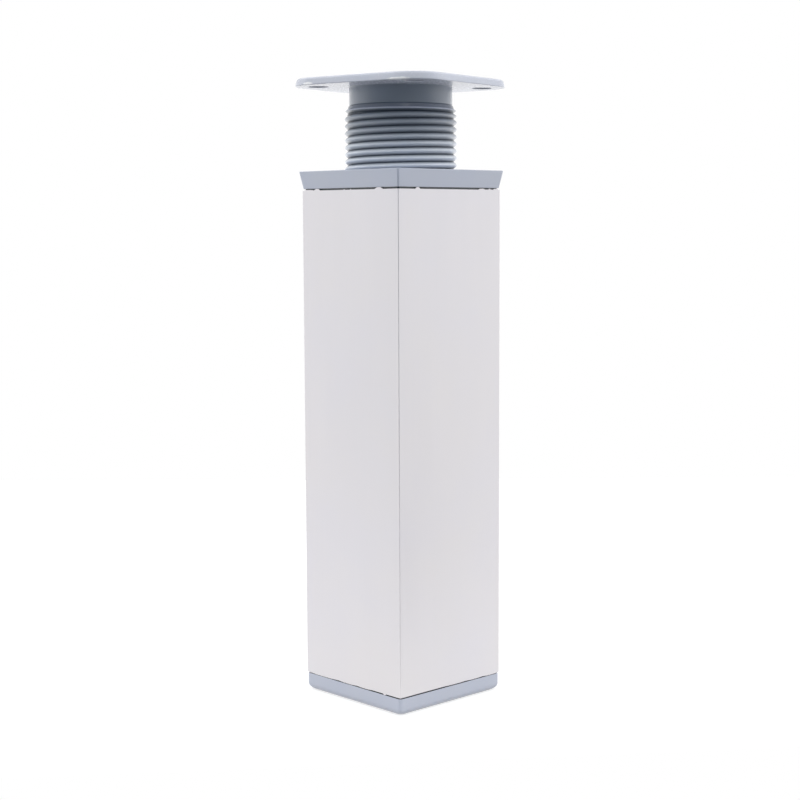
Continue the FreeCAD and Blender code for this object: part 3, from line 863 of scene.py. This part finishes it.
def make_floor():
    """Pale lit table top that keeps the leg's soft shadow."""
    floor = table_sheet("floor", [(-TABLE_SIDE, -TABLE_FRONT), (TABLE_SIDE, -TABLE_FRONT_RIGHT),
                                  (TABLE_SIDE, TABLE_BACK), (-TABLE_SIDE, TABLE_BACK)])
    material = bare_material("pale_floor")
    tree = material.node_tree
    path = add_node(tree, "ShaderNodeLightPath")
    seen = add_node(tree, "ShaderNodeMath", {
        0: path.outputs["Is Camera Ray"], 1: CAMERA_LIFT}, operation="MULTIPLY")
    lift = add_node(tree, "ShaderNodeMath", {
        0: path.outputs["Is Glossy Ray"], 1: MIRROR_LIFT, 2: seen.outputs["Value"]},
        operation="MULTIPLY_ADD")
    glow = add_node(tree, "ShaderNodeEmission", {"Color": WHITE, "Strength": lift.outputs["Value"]})
    paint = add_node(tree, "ShaderNodeBsdfDiffuse", {"Color": (FLOOR_PAINT, FLOOR_PAINT, FLOOR_PAINT, 1)})
    both = add_node(tree, "ShaderNodeAddShader", {0: paint.outputs["BSDF"], 1: glow.outputs["Emission"]})
    add_node(tree, "ShaderNodeOutputMaterial", {"Surface": both.outputs["Shader"]})
    floor.data.materials.append(material)


def make_front_strip():
    """White strip in front of the floor, outside the picture, seen by the camera and in reflections."""
    strip = table_sheet("front_strip", [(-TABLE_SIDE, -STRIP_FRONT), (TABLE_SIDE, -STRIP_FRONT),
                                        (TABLE_SIDE, -TABLE_FRONT_RIGHT), (-TABLE_SIDE, -TABLE_FRONT)])
    material = bare_material("white_strip")
    tree = material.node_tree
    path = add_node(tree, "ShaderNodeLightPath")
    shown = add_node(tree, "ShaderNodeMath", {
        0: path.outputs["Is Camera Ray"], 1: path.outputs["Is Glossy Ray"]}, operation="MAXIMUM")
    glow = add_node(tree, "ShaderNodeEmission", {"Color": WHITE, "Strength": shown.outputs["Value"]})
    add_node(tree, "ShaderNodeOutputMaterial", {"Surface": glow.outputs["Emission"]})
    strip.data.materials.append(material)


def make_camera():
    """Camera at the photograph's place and angle."""
    turn = Matrix.Rotation(CAMERA_TURN, 3, "Z")
    ahead = Vector((math.sin(CAMERA_YAW) * math.cos(CAMERA_PITCH),
                    math.cos(CAMERA_YAW) * math.cos(CAMERA_PITCH), -math.sin(CAMERA_PITCH)))
    level = Vector((math.cos(CAMERA_YAW), -math.sin(CAMERA_YAW), 0))
    upward = level.cross(ahead)
    right = level * math.cos(CAMERA_ROLL) + upward * math.sin(CAMERA_ROLL)
    top = upward * math.cos(CAMERA_ROLL) - level * math.sin(CAMERA_ROLL)
    columns = [turn @ right, turn @ top, turn @ (-ahead)]
    place = turn @ Vector((0, -CAMERA_DISTANCE, CAMERA_HEIGHT)) * MM
    data = bpy.data.cameras.new("camera")
    data.sensor_width = SENSOR_WIDTH
    data.sensor_fit = "HORIZONTAL"
    data.lens = CAMERA_FOCUS
    data.clip_start = 0.01
    camera = bpy.data.objects.new("camera", data)
    bpy.context.scene.collection.objects.link(camera)
    camera.matrix_world = Matrix([[columns[0][r], columns[1][r], columns[2][r], place[r]] for r in range(3)]
                                 + [[0, 0, 0, 1]])
    bpy.context.scene.camera = camera


def world_step(tree, value, limits, results):
    """Smooth change from one result to another between two limits."""
    node = add_node(tree, "ShaderNodeMapRange", {
        "Value": value, "From Min": limits[0], "From Max": limits[1], "To Min": results[0],
        "To Max": results[1]}, interpolation_type="SMOOTHSTEP")
    return node.outputs["Result"]


def world_product(tree, first, second, added=0.0):
    """Product of two values, and what is added to it."""
    node = add_node(tree, "ShaderNodeMath", {0: first, 1: second, 2: added}, operation="MULTIPLY_ADD")
    return node.outputs["Value"]


def cosines(degrees):
    """Cosines of a pair of angles."""
    return [math.cos(math.radians(angle)) for angle in degrees]


def make_light():
    """Soft tent of light: bright sides and top, and a dark opening low on the camera's side."""
    world = bpy.data.worlds.new("studio")
    bpy.context.scene.world = world
    world.use_nodes = True
    tree = world.node_tree
    tree.nodes.clear()
    around = add_node(tree, "ShaderNodeTexCoord").outputs["Generated"]
    opening_way = Matrix.Rotation(CAMERA_TURN + OPENING_TURN, 3, "Z") @ Vector((0, -1, 0))
    toward = add_node(tree, "ShaderNodeVectorMath", {0: around, 1: opening_way}, operation="DOT_PRODUCT")
    toward = toward.outputs["Value"]
    height = add_node(tree, "ShaderNodeSeparateXYZ", {"Vector": around}).outputs["Z"]
    opening = world_step(tree, toward, cosines(OPENING_EDGE), (0.0, 1.0))
    below_top = world_step(tree, height, OPENING_TOP, (1.0, 0.0))
    dark = world_product(tree, opening, below_top)
    band = world_step(tree, height, BAND_RISE, (SIDE_LEVEL, BAND_LEVEL))
    overhead = world_step(tree, height, ZENITH_RISE, (1.0, ZENITH_LEVEL / BAND_LEVEL))
    back = world_step(tree, toward, cosines(BACK_EDGE), (1.0 - BACK_SHARE, 0.0))
    over_horizon = world_step(tree, height, BACK_RISE, (0.0, -1.0))
    behind = world_product(tree, back, over_horizon, added=1.0)
    tent = world_product(tree, world_product(tree, band, overhead), behind)
    bright = add_node(tree, "ShaderNodeBackground", {"Color": WHITE, "Strength": tent})
    dim = add_node(tree, "ShaderNodeBackground", {"Color": FRONT_TINT, "Strength": FRONT_LEVEL})
    seen = add_node(tree, "ShaderNodeBackground", {"Color": WHITE, "Strength": 1.0})
    lit = add_node(tree, "ShaderNodeMixShader", {
        "Fac": dark, 1: bright.outputs["Background"], 2: dim.outputs["Background"]})
    path = add_node(tree, "ShaderNodeLightPath")
    whole = add_node(tree, "ShaderNodeMixShader", {
        "Fac": path.outputs["Is Camera Ray"], 1: lit.outputs["Shader"], 2: seen.outputs["Background"]})
    add_node(tree, "ShaderNodeOutputWorld", {"Surface": whole.outputs["Shader"]})


make_floor()
make_front_strip()
make_camera()
make_light()
bpy.context.scene.view_settings.view_transform = "Standard"
